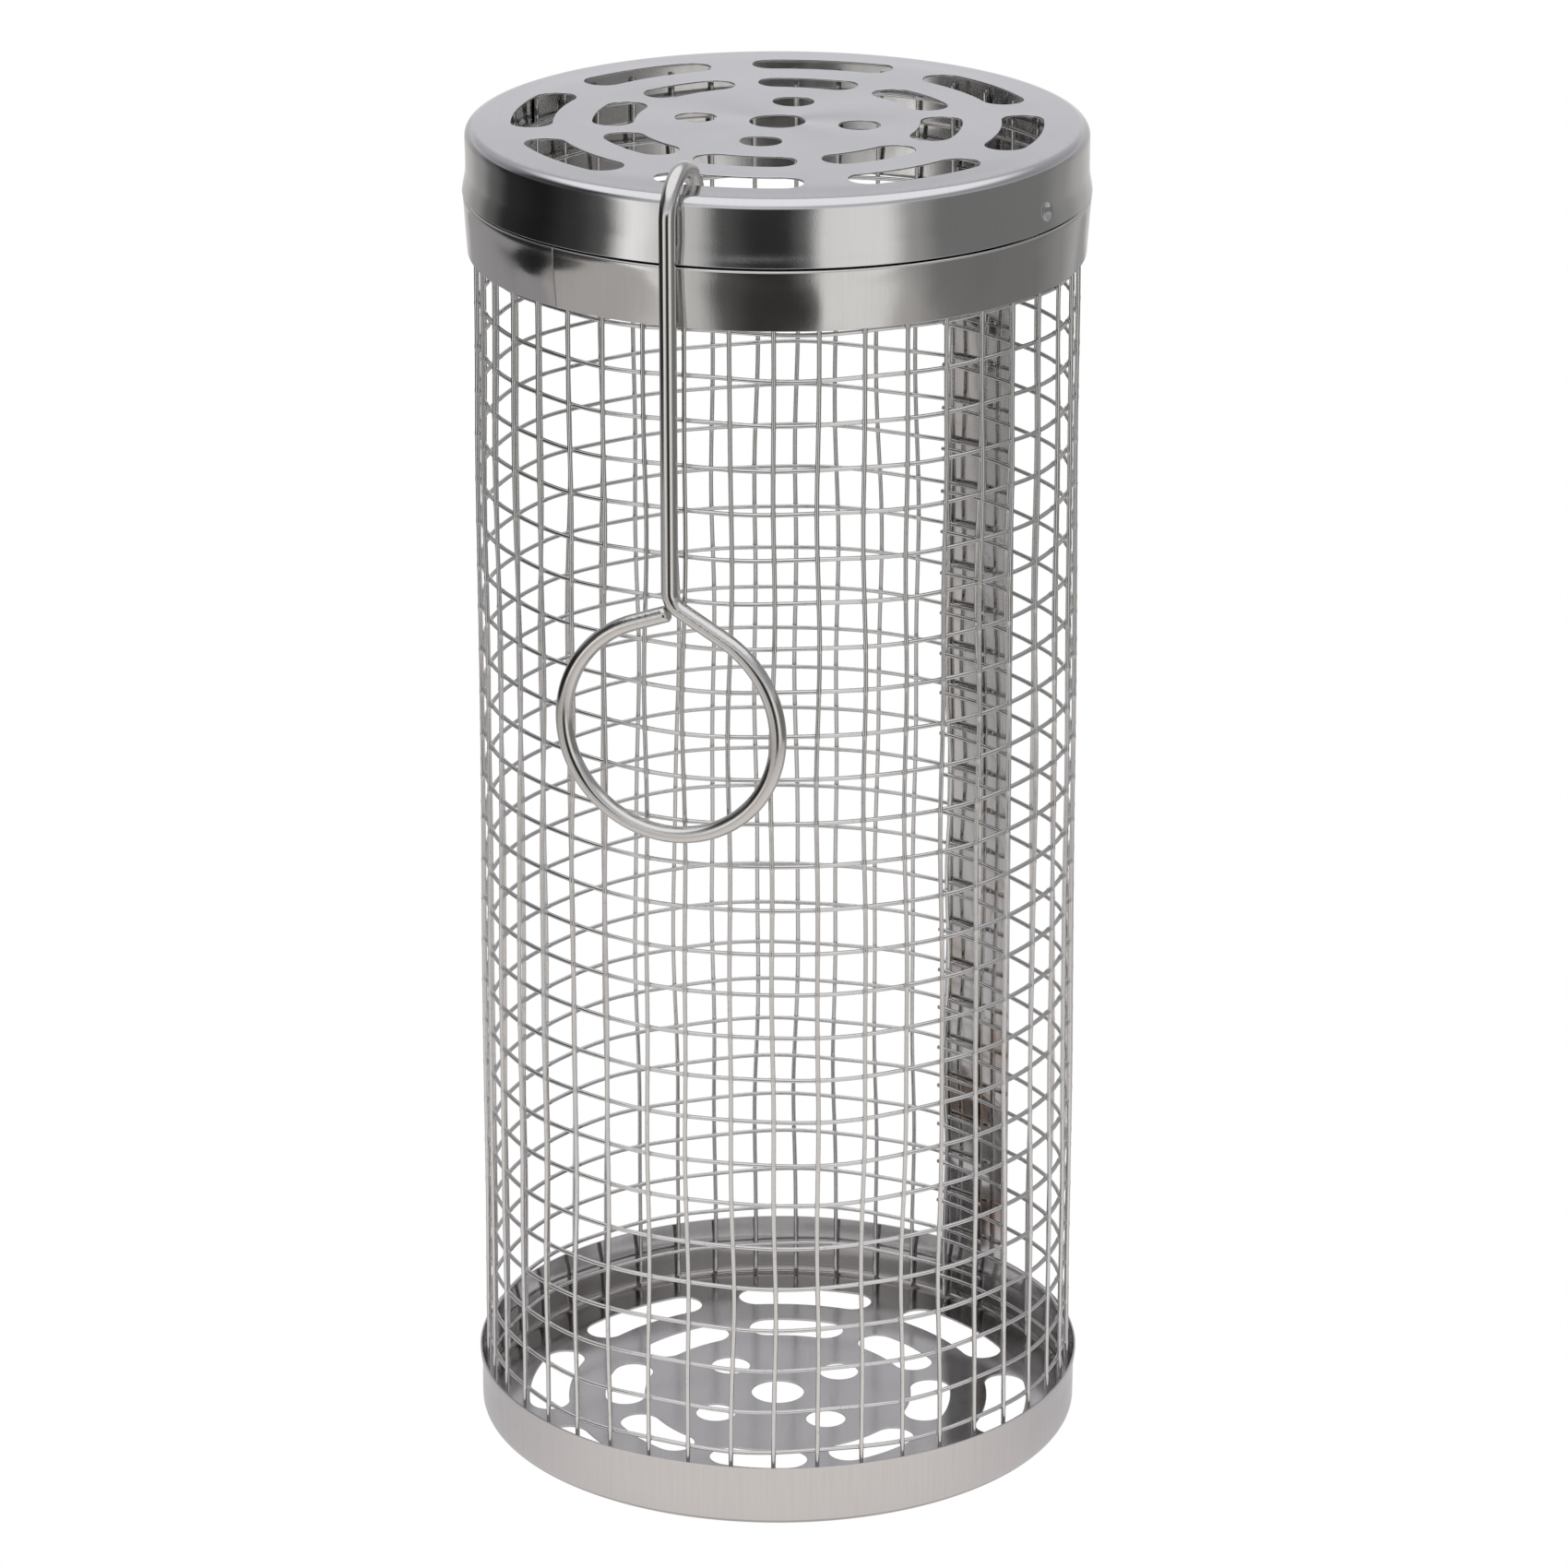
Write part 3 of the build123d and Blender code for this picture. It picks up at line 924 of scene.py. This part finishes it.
def inner_wall_painted_reflection(finish):
    """The cup's steel, with a painted reflection: its inner wall is painted darker and warmer low down, up to
    a bright band below the rim.
    """
    height = finish.add("ShaderNodeSeparateXYZ", {0: finish.place}).outputs[2]
    level = finish.vectors("MULTIPLY", finish.place, (1, 1, 0)).outputs[0]
    radius = finish.vectors("LENGTH", level).outputs["Value"]
    middle = (CUP_RADIUS - SHEET / 2) * MM
    within = finish.ranged(radius, middle - 0.02 * MM, middle + 0.02 * MM, 1, 0)
    wall = finish.ranged(radius, middle - 1.6 * MM, middle - 0.3 * MM, 0, 1)
    ragged = finish.maths("MULTIPLY", finish.noise(60, shift=0.1), 4 * MM)
    low = finish.ranged(finish.maths("ADD", height, ragged), 5.5 * MM, 8 * MM, 0.55, 0)
    share = finish.maths("MULTIPLY", finish.maths("MULTIPLY", within, wall), low)
    plain = finish.shader.inputs["Base Color"].links[0].from_socket
    # painted reflection: the lower inner wall is mixed towards a dark warm grey
    finish.connect("Base Color", finish.mixed(share, plain, (0.25, 0.23, 0.205)))


def polished_steel():
    """The strip's near-mirror steel, with waves, smears and brown heat tints low down."""
    light = (0.67, 0.66, 0.65)
    finish = Finish("strip_steel", light, 0.09)
    wave = finish.noise(38, stretch=(1, 1, 0.5), detail=1)
    smear = finish.noise(120, stretch=(1.2, 1.2, 0.7), detail=4, shift=0.4)
    heat = finish.ranged(finish.noise(80, detail=3, shift=0.9), 0.46, 0.66, 0, 1)
    height = finish.add("ShaderNodeSeparateXYZ", {0: finish.place}).outputs[2]
    heat = finish.maths("MULTIPLY", heat, finish.ranged(height, 30 * MM, 90 * MM, 1, 0.12))
    finish.connect("Base Color", finish.mixed(heat, light, (0.46, 0.385, 0.33)))
    finish.connect("Roughness", finish.ranged(smear, 0.35, 0.7, 0.06, 0.12))
    finish.bumps((wave, 0.03), (smear, 0.0015))
    return finish


def drawn_wire(name, light, dark, roughness):
    """Drawn steel wire: fine specks, duller patches and a rust spot here and there."""
    finish = Finish(name, light, roughness)
    specks = finish.noise(1500, detail=2)
    patches = finish.noise(150, detail=3, shift=0.2)
    rust = finish.ranged(finish.noise(38, detail=1, shift=2.3), 0.79, 0.83, 0, 1)
    shade = finish.ranged(specks, 0.56, 0.76, 0, 0.4)
    toned = finish.mixed(shade, light, dark)
    finish.connect("Base Color", finish.mixed(rust, toned, (0.32, 0.17, 0.09)))
    finish.connect("Roughness", finish.ranged(patches, 0.3, 0.7, roughness - 0.05, roughness + 0.06))
    finish.bumps((specks, 0.0015), (patches, 0.01))
    return finish.material


def handle_steel():
    """Bright drawn rod: lengthwise lines round the shank and tool marks near its bends."""
    light = (0.64, 0.63, 0.61)
    finish = Finish("handle_steel", light, 0.11)
    lines = finish.noise(400, stretch=(5, 5, 0.12), detail=3)
    specks = finish.noise(2400, detail=2)
    patches = finish.noise(90, detail=3, shift=0.5)
    shade = finish.ranged(specks, 0.5, 0.8, 0, 0.35)
    finish.connect("Base Color", finish.mixed(shade, light, (0.5, 0.49, 0.47)))
    finish.connect("Roughness", finish.ranged(patches, 0.3, 0.7, 0.09, 0.15))
    height = finish.add("ShaderNodeSeparateXYZ", {0: finish.place}).outputs[2]
    bend_z = (RING_CENTRE_Z + RING_RADIUS) * MM
    near = finish.maths("ABSOLUTE", finish.maths("SUBTRACT", height, bend_z))
    marks = finish.noise(1300, stretch=(1, 1, 1.6), detail=4)
    marks = finish.maths("MULTIPLY", marks, finish.ranged(near, 1 * MM, 6 * MM, 1, 0.04))
    finish.bumps((lines, 0.003), (specks, 0.001), (marks, 0.03))
    return finish.material


# ---------------------------------------------------------------- studio
def studio_world():
    """A soft studio: walls whose brightness varies round the room, and a bright ceiling."""
    world = bpy.data.worlds.new("studio")
    bpy.context.scene.world = world
    world.use_nodes = True
    tree = world.node_tree
    tree.nodes.clear()
    add = partial(add_node, tree)

    def wall(share, stops, tint):
        """A ramp of brightness round the room."""
        ramp = add("ShaderNodeValToRGB", {"Fac": share})
        ramp.color_ramp.interpolation = "EASE"
        elements = ramp.color_ramp.elements
        while len(elements) > 1:
            elements.remove(elements[-1])
        for number, (degrees_round, level) in enumerate(stops):
            position = (degrees_round + 180) / 360
            element = elements[0] if number == 0 else elements.new(position)
            element.position = position
            element.color = (*(level * part for part in tint), 1)
        return ramp.outputs["Color"]

    def risen(limits):
        """0 below an angle above the horizon, 1 above another, and a smooth step between."""
        low, high = limits
        limits = {"Value": rise, "From Min": radians(low), "From Max": radians(high)}
        return add("ShaderNodeMapRange", limits, interpolation_type="SMOOTHSTEP").outputs[0]

    direction = add("ShaderNodeTexCoord").outputs["Generated"]
    turn = (0, 0, radians(90 - CAMERA_AZIMUTH))
    facing = add("ShaderNodeMapping", {"Vector": direction, "Rotation": turn})
    split = add("ShaderNodeSeparateXYZ", {0: facing.outputs[0]})
    around = add("ShaderNodeMath", {0: split.outputs[1], 1: split.outputs[0]}, operation="ARCTAN2")
    whole_turn = {"Value": around.outputs[0], "From Min": -pi, "From Max": pi}
    share = add("ShaderNodeMapRange", whole_turn).outputs[0]
    rise = add("ShaderNodeMath", {0: split.outputs[2]}, operation="ARCSINE").outputs[0]
    low_wall = wall(share, LOW_WALL, LOW_TINT)
    high_wall = wall(share, HIGH_WALL, HIGH_TINT)
    shaded = {0: high_wall, 1: (TOP_SHADE,) * 3}
    top_wall = add("ShaderNodeVectorMath", shaded, operation="MULTIPLY").outputs[0]
    walls = mixed_colours(tree, risen(HIGH_WALL_RISE), low_wall, high_wall)
    walls = mixed_colours(tree, risen(TOP_WALL_RISE), walls, top_wall)
    room = mixed_colours(tree, risen(CEILING_RISE), walls, CEILING)
    lit = add("ShaderNodeBackground", {"Color": room, "Strength": 1.0})
    backdrop = add("ShaderNodeBackground", {"Color": (1, 1, 1, 1), "Strength": 1.0})
    seen = add("ShaderNodeLightPath").outputs["Is Camera Ray"]
    both = add("ShaderNodeMixShader", {0: seen, 1: lit.outputs[0], 2: backdrop.outputs[0]})
    add("ShaderNodeOutputWorld", {"Surface": both.outputs[0]})


def studio_floor():
    """A plain pale table top. Off camera its glow is warm, and fades to the back and away from the basket."""
    turn = radians(CAMERA_AZIMUTH)
    points = []
    for aside, ahead in FLOOR_CORNERS:
        x = aside * cos(turn) - ahead * sin(turn)
        y = aside * sin(turn) + ahead * cos(turn)
        points.append((x * MM, y * MM, -FLOOR_GAP * MM))
    mesh = bpy.data.meshes.new("floor")
    mesh.from_pydata(points, [], [tuple(range(len(points)))])
    floor = bpy.data.objects.new("floor", mesh)
    bpy.context.scene.collection.objects.link(floor)
    material = bpy.data.materials.new("floor_white")
    material.use_nodes = True
    tree = material.node_tree
    tree.nodes.clear()
    add = partial(add_node, tree)

    place = add("ShaderNodeTexCoord").outputs["Object"]
    away = add("ShaderNodeVectorMath", {0: place}, operation="LENGTH").outputs["Value"]
    facing = add("ShaderNodeMapping", {"Vector": place, "Rotation": (0, 0, -turn)})
    ahead = add("ShaderNodeSeparateXYZ", {0: facing.outputs[0]}).outputs[1]
    near, far = (distance * MM for distance in FLOOR_FADE)
    fade = {"Value": away, "From Min": near, "From Max": far, "To Min": 1.0, "To Max": FLOOR_FAR_GLOW}
    strength = add("ShaderNodeMapRange", fade, interpolation_type="SMOOTHSTEP").outputs[0]
    front, back = (place_ahead * MM for place_ahead in FLOOR_FRONT)
    cooling = {"Value": ahead, "From Min": front, "From Max": back}
    behind = add("ShaderNodeMapRange", cooling, interpolation_type="SMOOTHSTEP").outputs[0]
    glow = mixed_colours(tree, behind, FLOOR_WARM, FLOOR_COOL)
    white = add("ShaderNodeEmission", {"Color": (1, 1, 1, 1), "Strength": 1.0})
    warm = add("ShaderNodeEmission", {"Color": glow, "Strength": strength})
    seen = add("ShaderNodeLightPath").outputs["Is Camera Ray"]
    both = add("ShaderNodeMixShader", {0: seen, 1: warm.outputs[0], 2: white.outputs[0]})
    add("ShaderNodeOutputMaterial", {"Surface": both.outputs[0]})
    mesh.materials.append(material)


def studio_camera():
    """The camera, at the photograph's viewing angle."""
    data = bpy.data.cameras.new("camera")
    data.sensor_width = CAMERA_SENSOR
    data.lens = CAMERA_LENS
    data.clip_start, data.clip_end = CAMERA_CLIP
    camera = bpy.data.objects.new("camera", data)
    bpy.context.scene.collection.objects.link(camera)
    turn = radians(CAMERA_AZIMUTH)
    ahead = Vector((-sin(turn), cos(turn), 0))
    right = Vector((cos(turn), sin(turn), 0))
    place = -CAMERA_REACH * ahead + CAMERA_ASIDE * right + Vector((0, 0, CAMERA_HEIGHT))
    camera.location = place * MM
    camera.rotation_euler = (radians(90 - CAMERA_PITCH), 0, turn)
    bpy.context.scene.camera = camera


# ---------------------------------------------------------------- the pieces
lid_steel = sheet_steel("lid_steel", (0.635, 0.635, 0.64), (0.57, 0.57, 0.58), 0.115, 0.0020, 0.0012)
collar_steel = sheet_steel("collar_steel", (0.62, 0.615, 0.605), (0.53, 0.525, 0.515), 0.125, 0.0020, 0.0018)
cup_steel = sheet_steel("cup_steel", (0.63, 0.615, 0.61), (0.52, 0.50, 0.495), 0.14, 0.0020, 0.0014)
# painted reflection of a dark band low on the cup's inner wall
inner_wall_painted_reflection(cup_steel)
strip_steel = polished_steel()
mesh_finish = drawn_wire("mesh_wire_steel", (0.69, 0.69, 0.68), (0.48, 0.47, 0.45), 0.13)
handle_finish = handle_steel()

SHEET_PIECES = (
    ("lid_shell", lid_shell, lid_steel, "lid", "lid_steel", "lid"),
    ("cup_shell", cup_shell, cup_steel, "basket", "cup_steel", "bottom_cup"),
    ("collar_ring", collar_ring, collar_steel, "basket", "collar_steel", "collar"),
    ("strip_plate", strip_plate, strip_steel, "basket", "strip_steel", "seam_strip"),
)
for name, shape, finish, body, slot, node in SHEET_PIECES:
    points, faces, normals = shape()
    add_piece(name, points, faces, finish.material, body, [node], normals)
for number, node in enumerate(hoop_nodes):
    points, faces = hoop(number)
    name = f"hoop_{number + 1:02d}"
    add_piece(name, points, faces, mesh_finish, "basket", [node])
for number, node in enumerate(upright_nodes):
    first = number * UPRIGHTS_PER_NODE
    points, faces = joined([upright(first + k) for k in range(UPRIGHTS_PER_NODE)])
    name = f"uprights_{number + 1:02d}"
    add_piece(name, points, faces, mesh_finish, "basket", [node])
points, faces = handle_wire()
add_piece("handle_rod", points, faces, handle_finish, "handle", ["handle"])

studio_world()
studio_floor()
studio_camera()
bpy.context.scene.view_settings.view_transform = "Standard"
